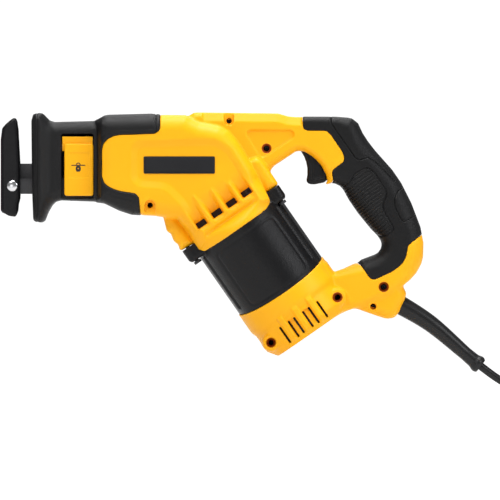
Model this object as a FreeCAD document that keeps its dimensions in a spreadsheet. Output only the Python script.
import FreeCAD, Part
import math
import os
import re
import Sketcher
from FreeCAD import Placement, Rotation, Vector

# Corded reciprocating saw, in millimetres. X runs from the shoe's front face back to the handle,
# Y = 0 is the plane where the left (-Y) and right (+Y) clamshells meet, Z = 0 is the spindle axis.
os.makedirs("parts", exist_ok=True)
doc = FreeCAD.newDocument("ReciprocatingSaw")
sheet = doc.addObject("Spreadsheet::Sheet", "Dims")

SIZE = {
    # clamshells, grips and nose boot
    "cover_half_width": 38.5, "cover_wall": 2.5, "skirt_radius": 46.5, "skirt_bore_radius": 43.8,
    "handle_half_width": 17.0, "handle_core_half_width": 14.0, "handle_cavity_depth": 11.5,
    "grip_half_width": 17.5, "boot_neck_half_width": 27.3, "boot_lip_half_width": 34.0,
    "boot_arm_half_width": 39.0, "panel_depth": 1.2, "louvre_depth": 4.0, "cap_wall": 2.8,
    "plate_length": 61.8, "plate_height": 15.0, "plate_thickness": 0.8, "slot_clearance": 0.15,
    # gear case and screws
    "case_nose_half_width": 24.0, "case_half_width": 27.0, "case_wall": 3.0,
    "column_radius": 4.6, "screw_head_radius": 3.4, "screw_head_height": 2.5,
    "screw_shank_radius": 1.9, "screw_hole_radius": 1.95, "counterbore_radius": 4.4,
    "case_screw_head_radius": 3.2, "motor_screw_radius": 1.9,
    # motor
    "housing_outer_radius": 43.5, "housing_inner_radius": 41.0, "housing_length": 74.6,
    "ear_half_width": 6.0, "ear_length": 12.6, "field_outer_radius": 40.9,
    "field_yoke_radius": 34.0, "field_bore_radius": 21.5, "field_length": 50.0,
    "pole_width": 28.0, "winding_outer_radius": 33.8, "winding_inner_radius": 22.4,
    "winding_length": 60.0, "armature_radius": 20.5, "armature_length": 50.0,
    "coil_end_radius": 18.0, "shaft_radius": 4.0, "shaft_length": 123.2,
    "commutator_radius": 13.0, "commutator_length": 20.0, "fan_radius": 38.0,
    "fan_hub_radius": 8.0, "fan_disc_thickness": 1.6, "fan_height": 9.0,
    "front_bearing_radius": 13.0, "front_bearing_width": 9.0, "rear_bearing_radius": 11.0,
    "rear_bearing_width": 7.0, "baffle_thickness": 1.5, "baffle_bore_radius": 34.2,
    "brush_half_width": 3.0,
    # crank train
    "crank_radius": 14.3, "gear_outer_radius": 33.0, "gear_tooth_inner_radius": 28.5,
    "gear_disc_thickness": 7.2, "gear_tooth_height": 1.6, "gear_shaft_radius": 8.0,
    "gear_shaft_length": 11.0, "crank_pin_radius": 2.5, "crank_pin_length": 16.0,
    "roller_outer_radius": 4.0, "roller_inner_radius": 2.55, "roller_length": 7.5,
    "gear_bearing_radius": 14.0, "gear_bearing_width": 8.0, "pinion_length": 5.0,
    "pinion_bore_radius": 1.8,
    # plunger and blade clamp
    "plunger_radius": 8.5, "plunger_rod_length": 76.0, "bushing_bore_radius": 8.55,
    "bushing_outer_radius": 12.0, "bushing_length": 9.0, "seal_length": 4.0,
    "clamp_radius": 12.0, "clamp_length": 8.0, "collar_radius": 15.0, "collar_length": 7.0,
    "blade_slot_width": 1.9, "blade_slot_height": 13.0, "clamp_pin_radius": 2.0,
    "lever_thickness": 3.2, "lever_pin_radius": 1.5, "lever_pin_length": 30.5,
    # shoe
    "shoe_half_width": 20.0, "shoe_thickness": 2.2, "blade_gap": 8.0, "rivet_radius": 3.0,
    "rivet_head_radius": 4.4, "rivet_body_length": 40.4, "post_block_half_width": 11.0,
    "post_bar_half_width": 15.0, "button_radius": 6.0,
    # trigger, switch and cord
    "trigger_half_width": 10.0, "trigger_pin_radius": 1.5, "trigger_pin_length": 29.0,
    "switch_half_width": 9.0, "cord_radius": 3.5, "relief_bore_radius": 3.55,
    "lead_radius": 1.0, "plug_blade_length": 18.0, "plug_blade_width": 6.35,
    "plug_blade_thickness": 1.5,
}
for row, (alias, value) in enumerate(SIZE.items(), start=1):
    sheet.set("A%d" % row, alias.replace("_", " "))
    sheet.set("B%d" % row, "%g" % value)
    sheet.setAlias("B%d" % row, alias)
doc.recompute()

SIDES = ((-1, "left"), (1, "right"))

# The motor axis passes through (MOTOR_X, MOTOR_Z) and leans MOTOR_LEAN back from vertical.
# A station is a distance along it towards the end cap; across is measured towards the handle.
MOTOR_X, MOTOR_Z = 209.24, -70.04
MOTOR_LEAN = math.radians(34.8)
DOWN_X, DOWN_Z = math.sin(MOTOR_LEAN), -math.cos(MOTOR_LEAN)
ACROSS_X, ACROSS_Z = math.cos(MOTOR_LEAN), math.sin(MOTOR_LEAN)

# Stations on the motor axis
HOUSING_TOP = -12.6
FRONT_BEARING = -22.5
REAR_BEARING = 92.0
PINION_END = -29.25
CORE_START = 2.0

# Each turn lays local Z along the direction it names. In ALONG_MOTOR, local X is across.
ALONG_MOTOR = Rotation(Vector(ACROSS_X, 0, ACROSS_Z), Vector(0, -1, 0),
                       Vector(DOWN_X, 0, DOWN_Z), "ZXY")
ALONG_X = Rotation(Vector(0, 1, 0), 90)
ALONG_Y = Rotation(Vector(1, 0, 0), -90)
ALONG_MINUS_Y = Rotation(Vector(1, 0, 0), 90)

PIECES = []


def along_motor(station, across=0.0, y=0.0):
    return Vector(MOTOR_X + DOWN_X * station + ACROSS_X * across, y,
                  MOTOR_Z + DOWN_Z * station + ACROSS_Z * across)


def motor_xz(station, across):
    point = along_motor(station, across)
    return (point.x, point.z)


def bind(obj, prop, size):
    """Drive a property from the sheet when size is text, otherwise set the number."""
    if isinstance(size, str):
        obj.setExpression(prop, re.sub(r"[A-Za-z_]\w+", r"Dims.\g<0>", size))
    else:
        setattr(obj, prop, size)


def piece(obj):
    """Mark an object for export under its label."""
    PIECES.append(obj)


# ---------------------------------------------------------------- sketch loops
def circle(place, radius):
    return ["circle", place[0], place[1], radius]


def rectangle(x0, z0, x1, z1):
    return [(x0, z0), (x1, z0), (x1, z1), (x0, z1)]


def motor_rectangle(station0, station1, across0, across1):
    corners = ((station0, across0), (station0, across1), (station1, across1), (station1, across0))
    return [motor_xz(*corner) for corner in corners]


def half_circle(center_x, center_z, radius, start_degrees, steps):
    points = []
    for k in range(steps + 1):
        angle = math.radians(start_degrees + 180.0 * k / steps)
        points.append((center_x + radius * math.cos(angle), center_z + radius * math.sin(angle)))
    return points


def grown(points, distance):
    """Outline offset outwards by distance, without near-duplicate corners."""
    wire = Part.makePolygon([Vector(x, 0, z) for x, z in points + points[:1]])
    corners = []
    for vertex in wire.makeOffset2D(distance, 2).OrderedVertexes:
        x, z = vertex.Point.x, vertex.Point.z
        if not corners or math.hypot(x - corners[-1][0], z - corners[-1][1]) > 0.05:
            corners.append((x, z))
    return corners


# ---------------------------------------------------------------- PartDesign helpers
def new_body(name):
    return doc.addObject("PartDesign::Body", name)


def origin_feature(body, role):
    return [o for o in body.Origin.OriginFeatures if o.Role == role][0]


def sketch(body, name, loops, role="XZ_Plane", offset=0.0, axis=None):
    """Closed loops on an origin plane. On XZ_Plane a positive offset goes towards -Y."""
    drawing = body.newObject("Sketcher::SketchObject", name)
    drawing.AttachmentSupport = [(origin_feature(body, role), "")]
    drawing.MapMode = "FlatFace"
    if offset:
        drawing.AttachmentOffset = Placement(Vector(0, 0, offset), Rotation())
    for loop in loops:
        if loop[0] == "circle":
            _, x, y, radius = loop
            number = float(SIZE[radius] if isinstance(radius, str) else radius)
            edge = drawing.addGeometry(Part.Circle(Vector(x, y, 0), Vector(0, 0, 1), number))
            if isinstance(radius, str):
                rule = drawing.addConstraint(Sketcher.Constraint("Radius", edge, number))
                drawing.setExpression("Constraints[%d]" % rule, "Dims." + radius)
        else:
            corners = [Vector(x, y, 0) for x, y in loop]
            drawing.addGeometry([Part.LineSegment(start, end)
                                 for start, end in zip(corners, corners[1:] + corners[:1])])
    if axis:
        ends = [Vector(x, y, 0) for x, y in axis]
        edge = drawing.addGeometry(Part.LineSegment(*ends))
        drawing.setConstruction(edge, True)
    return drawing


def new_feature(body, kind, drawing):
    feature = body.newObject("PartDesign::" + kind, kind + "_" + drawing.Name)
    feature.Refine = False
    feature.Profile = drawing
    return feature


def volume(body):
    return body.Shape.Volume if body.Tip else 0.0


def require_change(body, feature, kind, before):
    """Stop when a cut removed nothing or an addition added nothing."""
    gain = body.Shape.Volume - before
    if kind in ("Pocket", "Groove"):
        gain = -gain
    if not gain > 1e-6:
        raise RuntimeError("%s changed nothing in %s" % (feature.Name, body.Name))


def prism(kind, body, name, loops, length, role="XZ_Plane", offset=0.0, reverse=False,
          symmetric=False):
    drawing = sketch(body, name, loops, role, offset)
    before = volume(body)
    feature = new_feature(body, kind, drawing)
    bind(feature, "Length", length)
    if symmetric:
        feature.SideType = "Symmetric"
    feature.Reversed = reverse
    body.recompute(True)
    require_change(body, feature, kind, before)
    return feature


def pad(body, name, loops, length, **placing):
    """Pad along the sketch normal: -Y on XZ_Plane, +X on YZ_Plane."""
    return prism("Pad", body, name, loops, length, **placing)


def pocket(body, name, loops, length, **placing):
    """Pocket against the sketch normal: towards +Y on XZ_Plane."""
    return prism("Pocket", body, name, loops, length, **placing)


def polar_pattern(body, name, feature, count):
    pattern = body.newObject("PartDesign::PolarPattern", name)
    pattern.Originals = [feature]
    pattern.Axis = (origin_feature(body, "Z_Axis"), [""])
    pattern.Angle = 360
    pattern.Occurrences = count
    body.Tip = pattern
    doc.recompute()


class Half:
    """Body on one side of the split plane; side is -1 for left (-Y), +1 for right (+Y)."""

    def __init__(self, name, side):
        self.body = new_body(name)
        self.name = name + "_"
        self.side = side

    def pad(self, name, loops, length, start=0.0):
        """Pad outwards, beginning start away from the split plane."""
        pad(self.body, self.name + name, loops, length,
            offset=-self.side * start, reverse=self.side > 0)

    def pocket(self, name, loops, depth, start=0.0):
        """Pocket outwards, beginning start away from the split plane."""
        pocket(self.body, self.name + name, loops, depth,
               offset=-self.side * start, reverse=self.side < 0)

    def sink(self, name, loops, face, depth):
        """Pocket inwards from a plane that lies face away from the split plane."""
        pocket(self.body, self.name + name, loops, depth,
               offset=-self.side * face, reverse=self.side > 0)

    def half_turn(self, kind, name, profile):
        """Sweep (station, radius) points 180 degrees about the motor axis on this side."""
        drawing = sketch(self.body, self.name + name, [[motor_xz(*point) for point in profile]],
                         axis=(motor_xz(-40, 0), motor_xz(120, 0)))
        before = volume(self.body)
        feature = new_feature(self.body, kind, drawing)
        feature.ReferenceAxis = (drawing, ["Axis0"])
        feature.Angle = 180.0
        self.body.recompute(True)
        swept = feature.AddSubShape.BoundBox
        wrong_side = swept.YMax > 1.0 if self.side < 0 else swept.YMin < -1.0
        if wrong_side:
            feature.Reversed = True
            self.body.recompute(True)
        require_change(self.body, feature, kind, before)


# ---------------------------------------------------------------- Part helpers
def cylinder(name, radius, length, base, turn=Rotation()):
    obj = doc.addObject("Part::Cylinder", name)
    bind(obj, "Radius", radius)
    bind(obj, "Height", length)
    obj.Placement = Placement(base, turn)
    return obj


def cone(name, base_radius, top_radius, height, base, turn=Rotation()):
    obj = doc.addObject("Part::Cone", name)
    bind(obj, "Radius1", base_radius)
    obj.Radius2 = top_radius
    obj.Height = height
    obj.Placement = Placement(base, turn)
    return obj


def box(name, sizes, corner, turn=Rotation()):
    obj = doc.addObject("Part::Box", name)
    for prop, size in zip(("Length", "Width", "Height"), sizes):
        bind(obj, prop, size)
    obj.Placement = Placement(corner, turn)
    return obj


def cut(name, base, tool):
    obj = doc.addObject("Part::Cut", name)
    obj.Base = base
    obj.Tool = tool
    return obj


def fuse(name, shapes):
    obj = doc.addObject("Part::MultiFuse", name)
    obj.Shapes = shapes
    return obj


def common(name, shapes):
    obj = doc.addObject("Part::MultiCommon", name)
    obj.Shapes = shapes
    return obj


def group(name, shapes):
    """Several separate solids in one piece."""
    obj = doc.addObject("Part::Compound", name)
    obj.Links = shapes
    return obj


def shape_object(name, shape):
    obj = doc.addObject("Part::Feature", name)
    obj.Shape = shape
    return obj


def ring(name, outer_radius, inner_radius, length, base, turn=Rotation()):
    return cut(name, cylinder(name + "_outer", outer_radius, length, base, turn),
               cylinder(name + "_bore", inner_radius, length, base, turn))


def motor_cylinder(name, radius, length, station, across=0.0, y=0.0):
    return cylinder(name, radius, length, along_motor(station, across, y), ALONG_MOTOR)


def motor_ring(name, outer_radius, inner_radius, length, station):
    return ring(name, outer_radius, inner_radius, length, along_motor(station), ALONG_MOTOR)


def motor_box(name, sizes, station, across, y):
    """Box whose sizes run across, towards -Y, and along the motor."""
    return box(name, sizes, along_motor(station, across, y), ALONG_MOTOR)


def spline(points):
    curve = Part.BSplineCurve()
    curve.interpolate([Vector(*point) for point in points])
    return curve


def pipe(curve, radius):
    start = curve.FirstParameter
    section = Part.Wire([Part.makeCircle(radius, curve.value(start), curve.tangent(start)[0])])
    return Part.Wire([curve.toShape()]).makePipeShell([section], True, False)


def coil(radius, wire_radius, pitch, height, base, turn):
    helix = Part.makeHelix(pitch, height, radius)
    section = Part.Wire([Part.makeCircle(wire_radius, Vector(radius, 0, 0), Vector(0, 1, 0))])
    shape = Part.Wire(helix.Edges).makePipeShell([section], True, True)
    shape.Placement = Placement(base, turn)
    return shape


def bearing(name, outer_radius, inner_radius, width, base, turn):
    """Sealed bearing as one closed ring with a shield groove on each face."""
    groove_depth = 0.5
    middle = (SIZE[outer_radius] + SIZE[inner_radius]) / 2
    step = turn.multVec(Vector(0, 0, 1)) * (SIZE[width] - groove_depth)
    grooves = [ring("%s_groove%d" % (name, k), middle + 1.6, middle - 1.6, groove_depth,
                    start, turn)
               for k, start in enumerate((base, base + step))]
    blank = ring(name + "_blank", outer_radius, inner_radius, width, base, turn)
    piece(cut(name, blank, fuse(name + "_grooves", grooves)))


def screws_along_y(name, places, seat, tip):
    """Hex-socket screws, heads on the -Y side; places are (x, z, head radius)."""
    head_height = SIZE["screw_head_height"]
    screws = []
    for k, (x, z, head_radius) in enumerate(places):
        head = cylinder("%s_head%d" % (name, k), head_radius, "screw_head_height",
                        Vector(x, seat - head_height, z), ALONG_Y)
        shank = cylinder("%s_shank%d" % (name, k), "screw_shank_radius", tip - seat,
                         Vector(x, seat, z), ALONG_Y)
        blank = fuse("%s_blank%d" % (name, k), [head, shank])
        socket = doc.addObject("Part::Prism", "%s_socket%d" % (name, k))
        socket.Polygon = 6
        socket.Circumradius = 1.3
        socket.Height = 1.2
        socket.Placement = Placement(Vector(x, seat - head_height - 0.1, z), ALONG_Y)
        screws.append(cut("%s_%d" % (name, k), blank, socket))
    piece(group(name, screws))


# ================================================================ outlines, points are (x, z)
# Edge the cover shares with the top of the handle, front to back
COVER_SEAM = [
    (166.17, 25.66), (173.13, 22.79), (183.57, 20.88), (190.53, 19.31), (197.49, 15.22),
    (205.32, 6.09), (214.89, -8.7), (223.24, -6.96), (227.68, -10.27),
]
# Edge the cover shares with the nose boot, bottom to top
BOOT_SEAM = [
    (120.23, -42.63), (118.23, -40.02), (116.58, -38.89), (103.53, -36.89), (98.31, -35.15),
    (93.09, -32.45), (90.05, -29.58), (88.22, -24.36), (88.22, -0.87), (89.61, 4.35),
    (93.09, 8.27), (98.31, 10.88), (103.53, 11.92), (133.98, 12.96), (137.46, 15.22),
    (138.59, 17.4),
]
# Edge the top of the handle shares with the grip, top to bottom
GRIP_SEAM = [
    (262.65, 19.14), (263.61, 17.14), (266.22, 15.92), (281.01, 15.75), (283.62, 15.14),
    (287.36, 11.31), (296.76, -2.61), (298.67, -7.83), (297.8, -11.31), (288.67, -18.27),
    (287.97, -20.88), (288.84, -27.84), (287.1, -29.75),
]
# Edge the grip shares with the lower handle, back to front
LOWER_SEAM = [
    (362.79, -76.82), (354.09, -83.87), (352, -93.96), (349.22, -99.18), (346.26, -102.22),
    (339.3, -107.1), (325.38, -113.45), (322.77, -113.45), (320.59, -112.23), (313.2, -101.62),
    (310.76, -99.18),
]
COVER = [(138.76, 28.71), (143.55, 29.23), (160.95, 29.14)] + COVER_SEAM + [
    (234.9, -20.01), (240.82, -30.45), (235.77, -35.06), (230.9, -38.28), (233.86, -44.37),
    (233.59, -47.85), (230.9, -52.2), (225.33, -56.98), (195.75, -77.86), (177.48, -88.83),
    (172.26, -87.61), (167.91, -81.95), (156.6, -88.22), (155.03, -85.26), (151.38, -81.17),
    (147.9, -73.95), (143.98, -70.47), (141.81, -61.42), (137.46, -58.81), (123.54, -57.59),
    (121.54, -56.55),
] + BOOT_SEAM
COVER_CAVITY = [
    (141.38, 25.66), (160.95, 26.1), (165.3, 22.62), (173.13, 20.01), (183.57, 17.92),
    (189.66, 16.27), (195.31, 12.88), (203.15, 4.18), (213.59, -11.74), (220.11, -10.88),
    (222.72, -14.79), (224.9, -23.49), (225.16, -35.67), (227.5, -38.28), (230.12, -44.37),
    (227.07, -51.33), (194.01, -74.82), (177.48, -84.39), (172.26, -81.78), (169.22, -76.56),
    (164.43, -66.99), (152.25, -65.69), (147.03, -63.51), (144.85, -59.59), (138.33, -55.68),
    (125.28, -54.38), (123.97, -52.2), (123.11, -40.89), (119.19, -36.98), (103.53, -33.76),
    (94.39, -29.14), (91.52, -24.36), (91.52, -0.87), (94.83, 5.66), (103.53, 8.87),
    (134.85, 9.92), (141.38, 13.92),
]
PANEL = [
    (119.19, 2.61), (184.44, 4.35), (197.49, -2.61), (221.85, -42.63), (219.24, -47.85),
    (179.22, -75.69), (174, -72.21), (159.21, -45.24), (147.03, -33.06), (120.93, -28.71),
]
CASE = [
    (33.93, 19.75), (83.52, 20.18), (93.09, 24.45), (159.21, 24.45), (171.39, 19.57),
    (183.57, 17.4), (192.27, 13.92), (202.71, 5.22), (213.15, -11.31), (222.72, -30.45),
    (223.24, -44.54), (174.7, -78.3), (160.95, -56.12), (141.81, -55.68), (139.2, -43.5),
    (134.85, -41.59), (33.93, -41.33),
]
# The case is split at the step between its narrow nose and wide back
STEP_TOP, STEP_BOTTOM = (89.61, 22.88), (89.61, -41.59)
CASE_NOSE = CASE[:2] + [STEP_TOP, STEP_BOTTOM] + CASE[-1:]
CASE_BACK = [STEP_TOP] + CASE[2:-1] + [STEP_BOTTOM]
CHAMBER = [
    (112.23, 21.4), (158.6, 21.4), (170.52, 16.53), (182.7, 14.44), (190.53, 11.31),
    (200.53, 3.22), (210.54, -12.62), (219.59, -31.06), (219.68, -34.8), (173.13, -67.16),
    (170.09, -65.25), (160.08, -52.63), (144.68, -52.63), (142.07, -41.76), (136.59, -38.63),
    (112.23, -38.63),
]
BOOT_NECK = [
    (27.14, 24.36), (28.71, 30.19), (31.49, 31.32), (36.54, 30.8), (42.63, 24.71),
    (46.98, 23.32), (80.91, 24.19), (84.39, 24.79), (85.26, -46.11), (83.52, -45.94),
    (52.2, -44.72), (47.85, -45.94), (44.89, -48.72), (41.33, -54.81), (38.19, -62.64),
    (35.67, -63.95), (30.45, -63.86), (28.36, -60.9), (27.14, -11.31),
]
# The lip is the front of the neck outline, closed at x = 39.15
BOOT_LIP = BOOT_NECK[:4] + [(39.15, 28.27), (39.15, -60.9)] + BOOT_NECK[-5:]
BOOT_ARMS = [
    (84.39, 24.79), (90.48, 28.1), (93.96, 28.8), (135.72, 29.93), (138.33, 28.54),
] + BOOT_SEAM[::-1] + [
    (121.36, -56.55), (113.97, -56.64), (103.53, -53.24), (94.83, -49.07), (89.61, -46.28),
    (83.52, -45.67), (83.52, 24.53),
]
BOOT_NOSE_ROOM = [
    (33.76, 19.92), (83.52, 20.36), (89.61, 23.05), (91.35, 24.36), (91.35, -41.76),
    (33.76, -41.5),
]
HANDLE_TOP = [
    (160.95, 29.14), (167.91, 31.49), (172.26, 31.67), (240.99, 30.8), (249.69, 28.27),
    (261.87, 27.67),
] + GRIP_SEAM + [
    (283.62, -30.8), (282.14, -30.45), (283.88, -27.84), (282.84, -22.62), (278.66, -14.79),
    (274.22, -9.57), (270.05, -6.09), (263.61, -2.44), (260.13, -1.74), (256.21, -2.35),
    (237.51, -14.7), (235.51, -17.4),
] + COVER_SEAM[::-1]
GRIP = [
    (261.87, 27.67), (263.61, 28.27), (291.45, 28.01), (301.89, 27.23), (305.37, 26.45),
    (310.59, 22.45), (314.59, 13.92), (319.03, 6.96), (325.03, -0.87), (340.43, -18.27),
    (348.17, -29.58), (356.96, -46.98), (364.88, -67.86), (365.4, -73.69),
] + LOWER_SEAM + [
    (313.2, -96.31), (325.38, -91.7), (327.99, -90.05), (330.17, -87), (330.95, -84.39),
    (330.95, -81.78), (329.99, -79.17), (327.73, -75.69), (321.73, -69.6), (310.33, -55.68),
    (302.59, -44.37), (297.89, -35.67), (294.93, -32.19), (290.58, -30.1),
] + GRIP_SEAM[::-1]
CORE = [
    (251.43, 24.36), (263.61, 24.79), (301.02, 23.93), (307.98, 19.57), (311.46, 12.18),
    (321.9, -2.61), (337.56, -20.88), (345.39, -31.75), (354.09, -49.59), (361.49, -68.73),
    (362.36, -83.52), (350.61, -98.31), (326.25, -109.19), (323.64, -107.01), (317.55, -99.18),
    (327.99, -93.53), (333.64, -87.87), (334.08, -81.78), (332.34, -77.43), (324.51, -67.86),
    (313.2, -53.94), (305.37, -42.63), (301.02, -34.37), (296.67, -29.14), (289.71, -26.1),
    (282.75, -0.87), (260.13, 7.83),
]
LOWER = [
    (365.4, -73.69), (367.23, -78.3), (367.75, -86.13), (367.57, -92.22), (365.75, -100.05),
    (360.18, -109.45), (349.48, -119.19), (352.61, -125.28), (351.74, -129.63),
    (346.78, -140.94), (343.82, -145.29), (341.91, -146.77), (336.69, -147.81),
    (333.21, -147.29), (307.11, -137.98), (299.28, -133.98), (277.53, -100.05),
    (283.01, -97.44), (288.84, -106.66), (297.54, -104.4), (304.5, -101.7),
] + LOWER_SEAM[::-1]
HANDLE_CAVITY = [
    (207.93, 25.23), (241.86, 25.66), (258.39, 22.79), (299.28, 20.45), (304.5, 16.53),
    (308.85, 8.7), (320.16, -5.22), (334.08, -21.75), (341.48, -33.06), (350.18, -50.46),
    (357.13, -69.6), (359.31, -80.04), (363.66, -87), (362.36, -99.18), (357.13, -107.01),
    (347.13, -117.45), (348.44, -124.41), (343.65, -133.98), (339.3, -140.07),
    (333.21, -141.38), (314.07, -133.98), (305.37, -130.5), (300.15, -122.67),
    (305.37, -110.49), (310.59, -106.58), (314.94, -108.75), (320.16, -117.45),
    (326.25, -117.89), (341.04, -110.92), (348.44, -104.4), (352.79, -98.75), (351.48, -95.7),
    (345.39, -92.22), (338, -87.87), (338, -80.91), (335.82, -75.69), (327.56, -65.69),
    (316.25, -51.77), (308.42, -40.45), (304.06, -32.19), (299.28, -26.54), (293.19, -23.05),
    (289.71, -20.01), (284.49, -9.57), (274.05, 1.74), (265.35, 2.61), (254.91, 2.61),
    (234.03, -10.44), (223.59, -0.87), (214.89, -0.87), (207.93, 7.83), (201.84, 15.22),
]
TRIGGER_SLOT = [
    (257.52, -4.35), (257.52, 9.57), (261, 13.05), (274.05, 13.05), (284.49, 2.61),
    (289.71, -7.83), (291.45, -20.01), (289.71, -27.84), (283.62, -33.06), (275.79, -33.06),
    (260.13, -11.31),
]
TRIGGER = [
    (261, -2.26), (263.87, -6.96), (265.44, -11.31), (266.48, -16.53), (266.48, -22.62),
    (265.7, -26.97), (266.92, -29.58), (269.7, -30.8), (273.18, -30.8), (281.01, -28.45),
    (282.84, -22.62), (283.1, -16.53), (279.27, -5.22), (274.05, 2.61), (270.57, 8.27),
    (262.74, 8.7), (259.69, 4.35),
]
LEAD_WINDOW = [(284.49, -113.1), (303.63, -116.58), (303.63, -123.54), (284.49, -121.8)]
SHOE = [
    (0, -53.51), (3.48, -56.55), (6.96, -58.64), (12.18, -59.59), (15.66, -53.94),
    (16.27, -47.85), (17.66, -44.37), (17.92, -39.15), (17.92, -11.31), (16.36, 17.4),
    (15.49, 25.23), (15.66, 27.84), (15.14, 28.36), (13.05, 28.27), (9.57, 26.62),
    (3.48, 21.32), (0, 16.53),
]
# Centre line of the cord, from inside the handle back to the plug
CORD = [
    (314.07, -122.67), (321.03, -126.15), (327.99, -128.93), (338.43, -131.81),
    (348.61, -136.42), (374.54, -152.69), (404.12, -178), (417.34, -188.96), (433.26, -200.53),
    (451.53, -210.54), (468.93, -214.46), (486.33, -214.89),
]
CORD_CURVE = spline([(x, 0, z) for x, z in CORD])

# ================================================================ shared places, (x, z)
COVER_LOW_SCREW, COVER_TOP_SCREW = (129.98, -49.07), (198.36, 24.36)
HANDLE_SCREW = (230.98, 0.35)
CAP_BACK_SCREW, CAP_FRONT_SCREW = (292.58, -128.93), (234.9, -168.26)
LOWER_BACK_SCREW, LOWER_SMALL_SCREW = (332.77, -120.06), (323.64, -137.03)
# place, counterbore radius, |Y| where the counterbore starts, head radius
SHELL_SCREWS = [
    (COVER_LOW_SCREW, "counterbore_radius", SIZE["cover_half_width"], "screw_head_radius"),
    (COVER_TOP_SCREW, "counterbore_radius", SIZE["handle_half_width"], "screw_head_radius"),
    (HANDLE_SCREW, "counterbore_radius", SIZE["handle_half_width"], "screw_head_radius"),
    (CAP_BACK_SCREW, "counterbore_radius", 28.0, "screw_head_radius"),
    (LOWER_BACK_SCREW, "counterbore_radius", SIZE["handle_half_width"], "screw_head_radius"),
    (LOWER_SMALL_SCREW, 2.8, SIZE["handle_half_width"], 2.6),
    (CAP_FRONT_SCREW, "counterbore_radius", 28.0, "screw_head_radius"),
]
SHELL_SCREW_SEAT = 11.0      # |Y| of the counterbore floor
CASE_SCREWS = [(107.9, 19.0), (158.5, 19.0), (147.0, -50.6), (215.3, -36.6)]

HINGE = (265.35, 2.61)       # trigger pivot
CRANK_X, CRANK_Z = 176.3, -22.6
CRANK_PIN_X = CRANK_X + SIZE["crank_radius"]
RIVET = (10.35, -32.19)      # shoe pivot
LEVER_PIN = (-20.0, 2.0)     # (y, z) of the lever hinge
BUTTON_X = 66.0

# Motor screws, (across, y)
EAR_ACROSS = (-47.2, 42.5)
EAR_Y = 18.0
MOTOR_SCREWS = [(across, side * EAR_Y) for across in EAR_ACROSS for side in (-1, 1)]

# Saddle that holds the cord: centre, direction along the cord, direction across it
CLAMP_X, CLAMP_Z = 321.46, -126.15
CLAMP_ALONG = (0.928, -0.371)
CLAMP_ACROSS = (0.371, 0.928)
CLAMP_SCREWS = [(CLAMP_X + k * 5.5 * CLAMP_ACROSS[0], CLAMP_Z + k * 5.5 * CLAMP_ACROSS[1])
                for k in (-1, 1)]


# ================================================================ clamshells
def relief_taper(extra):
    """Tapered strain relief body along the cord, grown by extra."""
    sections = []
    for (x, z), radius in zip(CORD[3:8], (8.25, 8.25, 7.3, 6.0, 5.9)):
        at = CORD_CURVE.parameter(Vector(x, 0, z))
        ring_edge = Part.makeCircle(radius + extra, CORD_CURVE.value(at),
                                    CORD_CURVE.tangent(at)[0])
        sections.append(Part.Wire([ring_edge]))
    return Part.makeLoft(sections, True, False)


def louvre(center_x, center_z):
    half_across, half_along = 4.6, 2.0
    return [(center_x + ACROSS_X * a * half_across + DOWN_X * b * half_along,
             center_z + ACROSS_Z * a * half_across + DOWN_Z * b * half_along)
            for a, b in ((-1, -1), (1, -1), (1, 1), (-1, 1))]


def add_outside(shell):
    """Cover, handle, skirt round the motor and motor end cap, all still solid."""
    shell.pad("cover", [COVER], "cover_half_width")
    shell.pad("handle", [HANDLE_TOP], "handle_half_width")
    shell.pad("core", [CORE], "handle_core_half_width")
    shell.pad("lower", [LOWER], "handle_half_width")
    skirt = SIZE["skirt_radius"]
    cap = SIZE["housing_outer_radius"]
    shell.half_turn("Revolution", "skirt", [
        (-19, 0), (-19, 39), (-14, skirt - 1), (-11, skirt), (-2, skirt), (-2, 0)])
    shell.half_turn("Revolution", "cap", [
        (62, 0), (62, cap), (81, cap), (84, cap - 1.3), (103, cap - 2), (108.8, cap - 7),
        (108.8, 0)])


def add_hollows(shell):
    """Rooms for the motor ears, gear case, trigger and motor, and the rear bearing seat."""
    ear_rooms = [motor_rectangle(-13.8, 6, low, high)
                 for low, high in ((-62.0, -40.9), (35.9, 60.0))]
    shell.pocket("ear_rooms", ear_rooms, 60.0)
    shell.pocket("hollow", [COVER_CAVITY], "cover_half_width - cover_wall")
    shell.pocket("case_room", [grown(CASE, SIZE["slot_clearance"])],
                 "case_half_width + slot_clearance")
    shell.pocket("grip_hollow", [HANDLE_CAVITY], "handle_cavity_depth")
    shell.pocket("trigger_slot", [TRIGGER_SLOT], "trigger_half_width + 0.3")
    bore = SIZE["skirt_bore_radius"]
    shell.half_turn("Groove", "motor_bore", [
        (-15, 0), (-15, bore - 4), (-13, bore), (12, bore), (12, 0)])
    shell.half_turn("Groove", "motor_mouth", [(-30, 0), (-30, 30), (-14, 36), (-14, 0)])
    cap = SIZE["housing_outer_radius"]
    inside = cap - SIZE["cap_wall"]
    shell.half_turn("Groove", "cap_hollow", [
        (61, 0), (61, inside), (81, inside), (84, inside - 1.5), (101, inside - 2),
        (105.8, cap - 9), (105.8, 0)])
    seat = SIZE["rear_bearing_radius"]
    shell.half_turn("Revolution", "bearing_seat", [
        (REAR_BEARING, seat), (REAR_BEARING, seat + 3), (106, seat + 3), (106, seat)])


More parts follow.
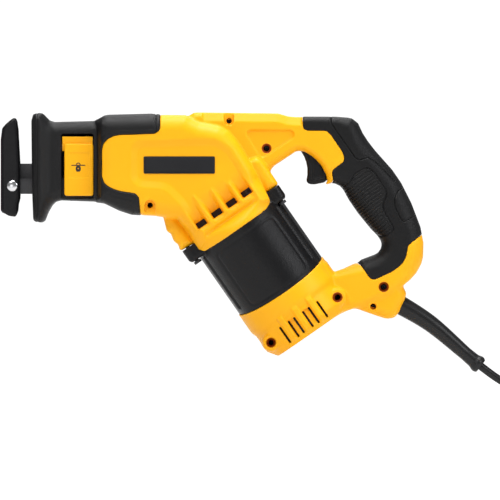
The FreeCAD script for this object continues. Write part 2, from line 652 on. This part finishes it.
def add_fixings(shell):
    """Screw columns, holes and counterbores, and the cord clamp posts on the right."""
    shell.pad("columns", [circle(place, "column_radius") for place in
                          (COVER_LOW_SCREW, HANDLE_SCREW, LOWER_BACK_SCREW)],
              "handle_half_width - 1")
    shell.pad("cap_columns", [circle(place, "column_radius") for place in
                              (CAP_BACK_SCREW, CAP_FRONT_SCREW)],
              "handle_half_width - 2")
    shell.pad("tall_column", [circle(COVER_LOW_SCREW, "column_radius")], "cover_half_width - 1")
    shell.pocket("pivot_hole", [circle(HINGE, "trigger_pin_radius")], 14.6)
    shell.pocket("lead_window", [LEAD_WINDOW], 8.0)
    shell.pocket("holes", [circle(screw[0], "screw_hole_radius") for screw in SHELL_SCREWS],
                 13.0)
    if shell.side < 0:
        for k, (place, radius, top, _) in enumerate(SHELL_SCREWS):
            shell.sink("bore%d" % k, [circle(place, radius)], top, top - SHELL_SCREW_SEAT)
    else:
        shell.pad("clamp_posts", [circle(place, 2.7) for place in CLAMP_SCREWS],
                  "handle_half_width - 1")
        shell.pocket("clamp_holes", [circle(place, 1.35) for place in CLAMP_SCREWS], 9.0)


def add_side_recesses(shell):
    """Recessed side panel, four louvres and the air slots in the end cap."""
    face = SIZE["cover_half_width"]
    shell.sink("panel", [PANEL], face, "panel_depth")
    louvres = [louvre(x, z) for x, z in
               ((174, -64.38), (188.35, -56.55), (201.41, -48.28), (213.59, -38.28))]
    shell.sink("louvres", louvres, face, "louvre_depth + 3")
    slots = [motor_rectangle(88.6, 104.0, across - 0.8, across + 0.8)
             for across in (-21.1, -12.1, -6.4, 2.9, 9.0, 18.0)]
    shell.sink("cap_slots", slots, 46.0, 24.0)


def build_clamshells():
    tunnel = shape_object("cord_tunnel", pipe(CORD_CURVE, SIZE["cord_radius"] + 0.1))
    relief_seat = shape_object("relief_seat", relief_taper(0.05))
    for side, word in SIDES:
        shell = Half("shell_body_" + word, side)
        add_outside(shell)
        add_hollows(shell)
        add_fixings(shell)
        add_side_recesses(shell)
        wells = [motor_cylinder("motor_screw_well_%s%d" % (word, k), "screw_hole_radius", 10.0,
                                -22.5, across, side * EAR_Y)
                 for k, across in enumerate(EAR_ACROSS)]
        seats = fuse("cord_seats_" + word, [tunnel, relief_seat] + wells)
        piece(cut("clamshell_" + word, shell.body, seats))


def build_grips():
    for side, word in SIDES:
        grip = Half("grip_" + word, side)
        grip.pad("outer", [GRIP], "grip_half_width")
        grip.pocket("core", [CORE], "handle_core_half_width")
        piece(grip.body)


def build_nameplates():
    floor = SIZE["cover_half_width"] - SIZE["panel_depth"]
    plates = [box("plate%d" % k, ("plate_length", "plate_thickness", "plate_height"),
                  Vector(124.41, y, -21.75))
              for k, y in enumerate((-floor - SIZE["plate_thickness"], floor))]
    piece(group("nameplates", plates))


# ================================================================ nose boot and gear case
def cut_button_bore(name, blank, radius):
    """Finish a nose part with its share of the upright bore for the shoe lock button."""
    tool = cylinder(name + "_button_bore", radius, 8.0, Vector(BUTTON_X, 0, -46.5))
    piece(cut(name, blank, tool))


def build_nose_boot():
    boot = new_body("nose_boot_blank")
    pad(boot, "boot_neck", [BOOT_NECK], "boot_neck_half_width * 2", symmetric=True)
    pad(boot, "boot_lip", [BOOT_LIP], "boot_lip_half_width * 2", symmetric=True)
    pad(boot, "boot_arms", [BOOT_ARMS], "boot_arm_half_width * 2", symmetric=True)
    pocket(boot, "boot_nose_room", [BOOT_NOSE_ROOM],
           "(case_nose_half_width + slot_clearance) * 2", symmetric=True)
    pocket(boot, "boot_back_room", [grown(CASE_BACK, SIZE["slot_clearance"])],
           "(case_half_width + slot_clearance) * 2", symmetric=True)
    pocket(boot, "boot_mouth", [rectangle(25.0, -41.0, 36.0, 17.0)], 40.0, symmetric=True)
    # window for the blade release lever, in the left side only
    pocket(boot, "boot_window", [rectangle(52.8, -43.1, 80.8, 13.05)], 8.0, offset=28.0)
    cut_button_bore("nose_boot", boot, 6.05)


def add_gear_seat(case):
    """Boss, bearing bore and shaft room on the right wall."""
    crank = (CRANK_X, CRANK_Z)
    case.pad("gear_boss", [circle(crank, 17.0)], 11.5, start=13.0)
    case.pocket("gear_bore", [circle(crank, "gear_bearing_radius")], 10.0, start=12.0)
    case.pocket("shaft_room", [circle(crank, 8.5)], 11.6, start=12.0)


def add_lever_seat(case):
    """Window, hinge boss and hinge pin hole in the left wall."""
    case.pocket("window", [rectangle(52.0, -42.5, 81.4, 14.0)], 4.0, start=20.9)
    case.pad("pin_boss", [rectangle(48.5, -2.0, 53.4, 6.2)], 5.6, start=16.4)
    pocket(case.body, case.name + "pin_hole", [circle(LEVER_PIN, "lever_pin_radius")], 31.0,
           role="YZ_Plane", offset=67.5, symmetric=True)


def build_gear_case(side, word):
    name = "gear_case_" + word
    case = Half(name + "_blank", side)
    case.pad("nose", [CASE_NOSE], "case_nose_half_width")
    case.pad("back", [CASE_BACK], "case_half_width")
    case.pocket("chamber", [CHAMBER], "case_half_width - case_wall")
    case.pocket("nose_room", [rectangle(30.0, -25.6, 82.0, 16.9)],
                "case_nose_half_width - case_wall")
    pocket(case.body, case.name + "spindle", [circle((0.0, 0.0), "bushing_outer_radius")], 34.0,
           role="YZ_Plane", offset=97.0, symmetric=True)
    pocket(case.body, case.name + "post_slot", [rectangle(-15.15, -39.25, 15.15, -25.5)], 70.4,
           role="YZ_Plane", offset=67.5, symmetric=True)
    # front bearing seat and pinion bore through the lower wall
    seat = SIZE["front_bearing_radius"]
    case.half_turn("Groove", "seat_bore", [
        (FRONT_BEARING, 0), (FRONT_BEARING, seat), (-12.0, seat), (-12.0, 0)])
    case.half_turn("Groove", "pinion_bore", [
        (-33.0, 0), (-33.0, 6.5), (-22.0, 6.5), (-22.0, 0)])
    if side > 0:
        add_gear_seat(case)
    else:
        add_lever_seat(case)
    case.pad("columns", [circle(place, "column_radius") for place in CASE_SCREWS[1:]],
             "case_half_width - 1")
    holes = [circle(place, "screw_hole_radius") for place in CASE_SCREWS]
    case.pocket("screw_holes", holes, 30.0 if side < 0 else 15.0)
    if side < 0:
        heads = [circle(place, 3.4) for place in CASE_SCREWS]
        case.sink("heads", heads, 27.0, 2.8)
    cut_button_bore(name, case.body, 4.1)


def build_case_and_shell_screws():
    screws_along_y("gear_case_screws", [(x, z, "case_screw_head_radius") for x, z in CASE_SCREWS],
                   seat=-24.2, tip=14.5)
    screws_along_y("clamshell_screws", [(x, z, radius) for (x, z), _, _, radius in SHELL_SCREWS],
                   seat=-SHELL_SCREW_SEAT, tip=12.5)


# ================================================================ motor
def build_motor_housing():
    tube = motor_ring("housing_tube", "housing_outer_radius", "housing_inner_radius",
                      "housing_length", HOUSING_TOP)
    web = 6.2     # reach of each web from its ear towards the tube
    ears = []
    for k, (across, y) in enumerate(MOTOR_SCREWS):
        ears.append(motor_cylinder("ear%d" % k, "ear_half_width", "ear_length", HOUSING_TOP,
                                   across, y))
        ears.append(motor_box("ear_web%d" % k, (web, "ear_half_width * 2", "ear_length"),
                              HOUSING_TOP, across if across < 0 else across - web,
                              y + SIZE["ear_half_width"]))
    trimmed = cut("ear_ring", fuse("ears", ears),
                  motor_cylinder("ear_trim", "housing_inner_radius", 30.0, -14))
    shanks = [motor_cylinder("housing_hole%d" % k, "screw_hole_radius", 16.0, -14, across, y)
              for k, (across, y) in enumerate(MOTOR_SCREWS)]
    heads = [motor_cylinder("housing_counterbore%d" % k, "screw_head_radius + 0.1", 3.0, 0,
                            across, y)
             for k, (across, y) in enumerate(MOTOR_SCREWS)]
    piece(cut("motor_housing", fuse("housing_blank", [tube, trimmed]),
              fuse("housing_screw_holes", shanks + heads)))


def build_motor_screws():
    screws = []
    for k, (across, y) in enumerate(MOTOR_SCREWS):
        head = motor_cylinder("motor_screw_head%d" % k, "screw_head_radius",
                              "screw_head_height", 0.0, across, y)
        shank = motor_cylinder("motor_screw_shank%d" % k, "motor_screw_radius", 22.0, -22.0,
                               across, y)
        screws.append(fuse("motor_screw%d" % k, [head, shank]))
    piece(group("motor_housing_screws", screws))


def build_field():
    yoke = motor_ring("field_ring", "field_outer_radius", "field_yoke_radius", "field_length",
                      CORE_START)
    pole_ring = motor_ring("pole_ring", "field_yoke_radius + 0.5", "field_bore_radius",
                           "field_length", CORE_START)
    half_pole = SIZE["pole_width"] / 2
    pole_bar = motor_box("pole_bar", (80.0, "pole_width", 60.0), -3, -40, half_pole)
    piece(fuse("field_core", [yoke, common("poles", [pole_ring, pole_bar])]))
    winding = motor_ring("winding_ring", "winding_outer_radius", "winding_inner_radius",
                         "winding_length", -1)
    pole_gap = motor_box("pole_gap", (90.0, "pole_width + 0.4", 50.4), 1.8, -45,
                         half_pole + 0.2)
    piece(cut("field_windings", winding, pole_gap))


def armature_bars(name, depth, length, station):
    """Twelve bars round the armature, standing outwards from radius 14."""
    bars = []
    for k in range(12):
        turn = ALONG_MOTOR.multiply(Rotation(Vector(0, 0, 1), 30 * k))
        corner = along_motor(station) + turn.multVec(Vector(14.0, -1.2, 0))
        bars.append(box("%s%d" % (name, k), (depth, 2.4, length), corner, turn))
    return bars


def build_armature():
    shaft = motor_cylinder("shaft_main", "shaft_radius", "shaft_length", -24.2)
    nose = motor_cylinder("shaft_nose", "pinion_bore_radius", 5.2, PINION_END)
    piece(fuse("armature_shaft", [shaft, nose]))
    core = motor_ring("core_blank", "armature_radius", "shaft_radius", "armature_length",
                      CORE_START)
    piece(cut("armature_core", core,
              fuse("core_slots", armature_bars("core_slot", 8.0, 60.0, -3))))
    ends = [motor_ring("coil_front", "coil_end_radius", "shaft_radius", 4.6, -2.6),
            motor_ring("coil_rear", "coil_end_radius", "shaft_radius", 7.5, 52.0)]
    piece(fuse("armature_windings", ends + armature_bars("winding_bar", 3.8, 50.0, CORE_START)))
    barrel = motor_ring("commutator_barrel", "commutator_radius", "shaft_radius",
                        "commutator_length", 62)
    riser = motor_ring("commutator_riser", "commutator_radius + 1.5", "shaft_radius", 2.5, 60)
    piece(fuse("commutator", [barrel, riser]))


def build_cooling_fan():
    fan = new_body("cooling_fan")
    center = (0, 0)
    pad(fan, "fan_disc", [circle(center, "fan_radius")], "fan_disc_thickness", role="XY_Plane")
    pad(fan, "fan_hub", [circle(center, "fan_hub_radius")], "fan_height", role="XY_Plane")
    pocket(fan, "fan_bore", [circle(center, "shaft_radius")], 30.0, role="XY_Plane",
           symmetric=True)
    outline = [(9.0, -0.8), (24.0, 1.4), (37.4, 6.5), (37.0, 8.3), (23.6, 3.2), (9.0, 1.0)]
    vane = pad(fan, "fan_vane", [outline], "fan_height - 1", role="XY_Plane")
    polar_pattern(fan, "fan_vanes", vane, 11)
    fan.Placement = Placement(along_motor(-12), ALONG_MOTOR)
    piece(fan)


def build_motor_bearings():
    bearing("armature_front_bearing", "front_bearing_radius", "shaft_radius",
            "front_bearing_width", along_motor(FRONT_BEARING), ALONG_MOTOR)
    bearing("armature_rear_bearing", "rear_bearing_radius", "shaft_radius",
            "rear_bearing_width", along_motor(REAR_BEARING), ALONG_MOTOR)
    piece(motor_ring("fan_baffle", "housing_inner_radius", "baffle_bore_radius",
                     "baffle_thickness", -2.6))


def build_brushes():
    half = SIZE["brush_half_width"]
    holders, brushes, springs = [], [], []
    # side, then across of the holder, its bore and the brush blank, each at its lowest corner
    for side, holder_at, bore_at, brush_at in ((-1, -37.7, -40.0, -26.5), (1, 15.2, 10.0, 11.5)):
        k = len(holders)
        holder = motor_box("holder%d" % k, (22.5, 9.6, 12.0), 66, holder_at, 4.8)
        bore = motor_box("holder_bore%d" % k, (30.0, "brush_half_width * 2 + 0.1", 8.1), 67.95,
                         bore_at, half + 0.05)
        holders.append(cut("holder_cut%d" % k, holder, bore))
        blank = motor_box("brush_blank%d" % k, (15.0, "brush_half_width * 2", 8.0), 68,
                          brush_at, half)
        face = motor_cylinder("brush_face%d" % k, "commutator_radius + 0.02", 14.0, 66)
        brushes.append(cut("brush_cut%d" % k, blank, face))
    for side in (1, -1):
        outward = Rotation(Vector(DOWN_X, 0, DOWN_Z), Vector(0, 1, 0),
                           Vector(side * ACROSS_X, 0, side * ACROSS_Z), "ZXY")
        springs.append(coil(radius=2.2, wire_radius=0.35, pitch=1.6, height=8.0,
                            base=along_motor(72, side * 27.0), turn=outward))
    piece(group("brush_holders", holders))
    piece(group("carbon_brushes", brushes))
    piece(shape_object("brush_springs", Part.makeCompound(springs)))


# ================================================================ crank train
def build_crown_teeth(gear_face_y):
    """Ring of face teeth on the gear's -Y face, rooted 0.3 into the disc."""
    root = 0.3
    phase = -2.698     # degrees, sets a tooth over the pinion
    crown = new_body("crown_teeth")
    pad(crown, "crown_base", [circle((0, 0), "gear_outer_radius"),
                              circle((0, 0), "gear_tooth_inner_radius")], root, role="XY_Plane")
    outline = [(28.6, -0.62), (32.9, -0.72), (32.9, 0.72), (28.6, 0.62)]
    tooth = pad(crown, "crown_tooth", [outline], "gear_tooth_height + 0.3", role="XY_Plane")
    polar_pattern(crown, "crown_ring", tooth, 48)
    turn = ALONG_MINUS_Y.multiply(Rotation(Vector(0, 0, 1), phase))
    crown.Placement = Placement(Vector(CRANK_X, gear_face_y + root, CRANK_Z), turn)
    return crown


def build_crank():
    back_y = 12.0      # face of the gear disc on its shaft side
    face_y = back_y - SIZE["gear_disc_thickness"]
    pin_base = Vector(CRANK_PIN_X, -4.9, CRANK_Z)
    disc = cylinder("gear_disc", "gear_outer_radius", "gear_disc_thickness",
                    Vector(CRANK_X, face_y, CRANK_Z), ALONG_Y)
    stub = cylinder("gear_stub", "gear_shaft_radius", "gear_shaft_length",
                    Vector(CRANK_X, back_y, CRANK_Z), ALONG_Y)
    bore = cylinder("crank_pin_bore", "crank_pin_radius", 16.0, pin_base, ALONG_Y)
    piece(cut("crank_gear", fuse("gear_blank", [disc, stub, build_crown_teeth(face_y)]), bore))
    piece(cylinder("crank_pin", "crank_pin_radius", "crank_pin_length", pin_base, ALONG_Y))
    piece(ring("crank_roller", "roller_outer_radius", "roller_inner_radius", "roller_length",
               Vector(CRANK_PIN_X, -4.8, CRANK_Z), ALONG_Y))
    bearing("crank_gear_bearing", "gear_bearing_radius", "gear_shaft_radius",
            "gear_bearing_width", Vector(CRANK_X, 13.9, CRANK_Z), ALONG_Y)


def build_pinion():
    outline = []
    for k in range(6):
        for radius, degrees in ((2.95, -21.0), (4.5, -7.0), (4.5, 7.0), (2.95, 21.0)):
            angle = math.radians(60 * k + degrees)
            outline.append((radius * math.cos(angle), radius * math.sin(angle)))
    pinion = new_body("drive_pinion")
    pad(pinion, "pinion_teeth", [outline, circle((0, 0), "pinion_bore_radius")],
        "pinion_length", role="XY_Plane")
    pinion.Placement = Placement(along_motor(PINION_END), ALONG_MOTOR)
    piece(pinion)


# ================================================================ plunger and blade clamp
def build_plunger():
    """Round rod, flat bar and slotted yoke, with a slotted tip."""
    rod = cylinder("plunger_rod", "plunger_radius", "plunger_rod_length", Vector(65, 0, 0),
                   ALONG_X)
    bar = box("plunger_bar", (43.6, 10.9, 16.0), Vector(139.4, -8, -8))
    yoke = new_body("yoke_body")
    outline = [(179.5, 8.0), (188.0, 8.0), (201.7, -9.0), (201.7, -35.1), (193.7, -43.1),
               (187.5, -43.1), (179.5, -35.1)]
    pad(yoke, "yoke_plate", [outline], 7.9, offset=-2.9)
    slot_radius, reach = 7.1, 11.4
    slot = (half_circle(CRANK_PIN_X, CRANK_Z + reach, slot_radius, 0.0, 12)
            + half_circle(CRANK_PIN_X, CRANK_Z - reach, slot_radius, 180.0, 12))
    pocket(yoke, "yoke_slot", [slot], 30.0, symmetric=True)
    blade_slot = box("blade_slot_cut", (17.0, "blade_slot_width", "blade_slot_height"),
                     Vector(64, -SIZE["blade_slot_width"] / 2, -SIZE["blade_slot_height"] / 2))
    piece(cut("plunger", fuse("plunger_blank", [rod, bar, yoke]), blade_slot))


def build_spindle_guides():
    bushings = [ring("bushing%d" % k, "bushing_outer_radius", "bushing_bore_radius",
                     "bushing_length", Vector(x, 0, 0), ALONG_X)
                for k, x in enumerate((83.0, 101.0))]
    piece(group("spindle_bushings", bushings))
    piece(ring("spindle_seal", "bushing_outer_radius", "bushing_bore_radius", "seal_length",
               Vector(94.5, 0, 0), ALONG_X))


def build_blade_clamp():
    pin_x = 69.0
    holder = ring("clamp_holder", "clamp_radius", "plunger_radius", "clamp_length",
                  Vector(65.0, 0, 0), ALONG_X)
    pin_hole = cylinder("clamp_pin_hole", "clamp_pin_radius", 6.0, Vector(pin_x, 0, 8.0))
    piece(cut("blade_clamp_body", holder, pin_hole))

    collar = ring("clamp_collar_ring", "collar_radius", "clamp_radius + 0.05", "collar_length",
                  Vector(65.5, 0, 0), ALONG_X)
    cam = box("collar_cam", (4.0, 2.2, 5.0), Vector(67.0, -16.2, -2.5))
    cam_trim = cylinder("cam_trim", "collar_radius - 0.5", 12.0, Vector(62.0, 0, 0), ALONG_X)
    piece(fuse("blade_clamp_collar", [collar, cut("collar_cam_trimmed", cam, cam_trim)]))

    pin = cylinder("clamp_pin_blank", "clamp_pin_radius", 3.2, Vector(pin_x, 0, 8.45))
    pin_trim = cylinder("pin_trim", "plunger_radius", 20.0, Vector(60.0, 0, 0), ALONG_X)
    piece(cut("blade_clamp_pin", pin, pin_trim))

    # spring cut from a ring by three slots that open from opposite sides
    spring = ring("clamp_spring_ring", 11.2, 10.0, 5.4, Vector(74.3, 0, 0), ALONG_X)
    cut_names = ("clamp_spring_cut0", "clamp_spring_cut1", "blade_clamp_spring")
    for name, x, y in zip(cut_names, (75.3, 76.65, 78.0), (-7.0, -13.0, -7.0)):
        slot = box(name + "_slot", (0.7, 20.0, 26.0), Vector(x, y, -13.0))
        spring = cut(name, spring, slot)
    piece(spring)


def build_lever():
    lever = new_body("blade_release_lever")
    pad(lever, "lever_plate", [rectangle(54.6, -41.2, 80.4, 5.2)], "lever_thickness",
        offset=24.4)
    # hinge lug outline, (y, z)
    lug = [(-24.6, -2.0), (-24.6, 5.0), (-21.0, 5.2), (-18.2, 4.6), (-16.9, 2.0),
           (-18.2, -0.6), (-21.0, -1.6)]
    for k, x in enumerate((59.0, 76.0)):
        pad(lever, "lever_lug%d" % k, [lug], 4.0, role="YZ_Plane", offset=x, symmetric=True)
    pocket(lever, "lever_pin_hole", [circle(LEVER_PIN, 1.55)], 30.0, role="YZ_Plane",
           offset=67.5, symmetric=True)
    piece(lever)
    piece(cylinder("lever_hinge_pin", "lever_pin_radius", "lever_pin_length",
                   Vector(52.2, *LEVER_PIN), ALONG_X))


# ================================================================ shoe
def build_shoe():
    shoe = new_body("shoe")
    pad(shoe, "shoe_profile", [SHOE], "shoe_half_width * 2", symmetric=True)
    pocket(shoe, "shoe_inside", [rectangle(SIZE["shoe_thickness"], -80.0, 60.0, 60.0)],
           "(shoe_half_width - shoe_thickness) * 2", symmetric=True)
    half_gap = SIZE["blade_gap"] / 2
    pocket(shoe, "blade_gap_cut", [rectangle(-half_gap, -11.5, half_gap, 60.0)], 10.0,
           role="YZ_Plane", symmetric=True)
    pocket(shoe, "rivet_holes", [circle(RIVET, SIZE["rivet_radius"] + 0.05)], 60.0,
           symmetric=True)
    piece(shoe)


def build_shoe_post():
    """Flat bar with a round front end, and a block on top at the front."""
    post = new_body("shoe_post")
    bar = half_circle(RIVET[0], -32.45, 6.65, 90, 16) + [(100.0, -39.1), (100.0, -25.8)]
    pad(post, "post_bar", [bar], "post_bar_half_width * 2", symmetric=True)
    block = [(9.5, -26.5), (34.0, -26.5), (34.0, -12.8), (12.5, -12.8), (9.5, -15.8)]
    pad(post, "post_block", [block], "post_block_half_width * 2", symmetric=True)
    pocket(post, "post_rivet_hole", [circle(RIVET, "rivet_radius")], 60.0, symmetric=True)
    pocket(post, "post_notch", [rectangle(-4.6, -39.5, 4.6, -35.0)], 54.0, role="YZ_Plane",
           offset=69.0, symmetric=True)
    piece(post)


def build_rivet():
    half = SIZE["rivet_body_length"] / 2
    body = cylinder("rivet_body", "rivet_radius", "rivet_body_length",
                    Vector(RIVET[0], -half, RIVET[1]), ALONG_Y)
    heads = [cone("rivet_head%d" % k, "rivet_head_radius", 2.4, 1.8,
                  Vector(RIVET[0], y, RIVET[1]), turn)
             for k, (y, turn) in enumerate(((-half, ALONG_MINUS_Y), (half, ALONG_Y)))]
    piece(fuse("shoe_pivot_rivet", [body] + heads))


def build_shoe_lock():
    head = cylinder("button_head", "button_radius - 0.1", 1.9, Vector(BUTTON_X, 0, -45.2))
    stem = cylinder("button_stem", 4.0, 3.2, Vector(BUTTON_X, 0, -43.4))
    piece(fuse("shoe_lock_button", [head, stem]))
    # the lock spring is a thin conical washer
    outside = cone("button_washer", 5.8, 4.75, 1.5, Vector(BUTTON_X, 0, -43.15))
    inside = cone("button_washer_bore", 5.32, 4.13, 1.7, Vector(BUTTON_X, 0, -43.25))
    piece(cut("shoe_lock_spring", outside, inside))


# ================================================================ trigger, switch, leads
def build_trigger():
    x, z = HINGE
    trigger = new_body("trigger")
    pad(trigger, "trigger_side", [TRIGGER], "trigger_half_width * 2", symmetric=True)
    pocket(trigger, "trigger_pin_hole", [circle(HINGE, 1.55)], 40.0, symmetric=True)
    pocket(trigger, "trigger_spring_room", [rectangle(x - 6.5, z - 4.6, x + 6.0, z + 8)], 8.0,
           symmetric=True)
    piece(trigger)
    piece(cylinder("trigger_pivot_pin", "trigger_pin_radius", "trigger_pin_length",
                   Vector(x, -SIZE["trigger_pin_length"] / 2, z), ALONG_Y))
    spring = coil(radius=3.0, wire_radius=0.45, pitch=1.2, height=6.0,
                  base=Vector(x, -3.0, z), turn=ALONG_Y)
    piece(shape_object("trigger_spring", spring))
    piece(box("switch_body", (16.5, "switch_half_width * 2", 25.5),
              Vector(291.88, -SIZE["switch_half_width"], -20.01)))


def build_leads():
    # run up through the grip, (x, z)
    grip_run = [(354.09, -105.27), (357.57, -89.61), (353.65, -72.21), (345.39, -51.33),
                (335.82, -33.93), (323.64, -19.14)]
    # (x, y, z) before the grip run, y in the run, (x, y, z) at the switch
    routes = [
        ([(313.2, 0.0, -122.32), (308.42, -4.0, -120.93), (313.2, -8.8, -123.54),
          (321.46, -9.8, -124.76), (333.64, -7.0, -125.8), (341.04, -4.0, -120.06),
          (346.26, -1.0, -113.53)], 2.0, (309.37, 2.0, -13.05)),
        ([(286.23, -3.0, -117.45), (294.93, -4.0, -118.75), (304.5, -7.0, -122.67),
          (313.2, -9.4, -127.19), (321.46, -9.8, -127.89), (333.21, -9.9, -126.85),
          (341.48, -7.5, -120.93), (346.26, -5.0, -113.97)], -3.0, (309.37, -3.0, -16.53)),
    ]
    leads = [pipe(spline(start + [(x, y, z) for x, z in grip_run] + [end]), SIZE["lead_radius"])
             for start, y, end in routes]
    piece(shape_object("internal_leads", Part.makeCompound(leads)))


# ================================================================ cord, clamp, plug
def build_cord():
    piece(shape_object("power_cord", pipe(CORD_CURVE, SIZE["cord_radius"])))
    # the relief ends in a short wider collar
    x, z = CORD[7]
    at = CORD_CURVE.parameter(Vector(x, 0, z))
    end, direction = CORD_CURVE.value(at), CORD_CURVE.tangent(at)[0]
    collar = Part.makeCylinder(7.7, 5.0, end - direction * 5.0, direction)
    bore = pipe(CORD_CURVE, SIZE["relief_bore_radius"])
    piece(shape_object("cord_strain_relief", relief_taper(0).fuse(collar).cut(bore)))


def build_cord_clamp():
    along = Vector(CLAMP_ALONG[0], 0, CLAMP_ALONG[1])
    across = Vector(CLAMP_ACROSS[0], 0, CLAMP_ACROSS[1])
    corner = Vector(CLAMP_X, -7.0, CLAMP_Z) - along * 2.7 - across * 7.6
    saddle = box("saddle", (5.4, 7.0, 15.2), corner,
                 Rotation(along, Vector(0, 1, 0), across, "XYZ"))
    groove = shape_object("clamp_groove", pipe(spline([(x, 0, z) for x, z in CORD[:5]]),
                                               SIZE["cord_radius"] + 0.02))
    holes = [cylinder("clamp_hole%d" % k, 1.35, 20.0, Vector(x, -10, z), ALONG_Y)
             for k, (x, z) in enumerate(CLAMP_SCREWS)]
    piece(cut("cord_clamp", saddle, fuse("clamp_tools", [groove] + holes)))
    screws = []
    for k, (x, z) in enumerate(CLAMP_SCREWS):
        head = cylinder("clamp_screw_head%d" % k, 2.2, 1.6, Vector(x, -8.6, z), ALONG_Y)
        shank = cylinder("clamp_screw_shank%d" % k, 1.3, 15.0, Vector(x, -7.0, z), ALONG_Y)
        screws.append(fuse("clamp_screw%d" % k, [head, shank]))
    piece(group("cord_clamp_screws", screws))


def build_plug():
    plug_z = CORD[-1][1]
    neck = cone("plug_neck", 5.2, 8.5, 14.0, Vector(472.0, 0, plug_z), ALONG_X)
    block = box("plug_block", (35.0, 27.0, 17.0), Vector(486.0, -13.5, plug_z - 8.5))
    # each blade is set 6 deep into the block
    blades = [box("blade%d" % k,
                  ("plug_blade_length + 6", "plug_blade_thickness", "plug_blade_width"),
                  Vector(515.0, y - SIZE["plug_blade_thickness"] / 2,
                         plug_z - SIZE["plug_blade_width"] / 2))
              for k, y in enumerate((-6.35, 6.35))]
    bore = shape_object("plug_bore", pipe(CORD_CURVE, SIZE["cord_radius"] + 0.02))
    piece(cut("mains_plug", fuse("plug_blank", [neck, block]),
              fuse("plug_tools", [bore] + blades)))
    piece(group("plug_blades", blades))


# ================================================================ build, check and write
build_clamshells()
build_grips()
build_nose_boot()
for side, word in SIDES:
    build_gear_case(side, word)
build_case_and_shell_screws()
build_nameplates()
build_motor_housing()
build_motor_screws()
build_field()
build_armature()
build_cooling_fan()
build_motor_bearings()
build_brushes()
build_crank()
build_pinion()
build_plunger()
build_spindle_guides()
build_blade_clamp()
build_lever()
build_shoe()
build_shoe_post()
build_rivet()
build_shoe_lock()
build_trigger()
build_leads()
build_cord()
build_cord_clamp()
build_plug()

doc.recompute()
problems = ["%s: %s" % (obj.Name, obj.State) for obj in doc.Objects
            if "Invalid" in obj.State or "Error" in obj.State]
for obj in PIECES:
    if obj.Shape.isNull() or not obj.Shape.isValid() or not obj.Shape.Solids:
        problems.append("%s: bad shape" % obj.Label)
if problems:
    raise RuntimeError("; ".join(problems))
for obj in PIECES:
    obj.Shape.exportStep("parts/%s.step" % obj.Label)
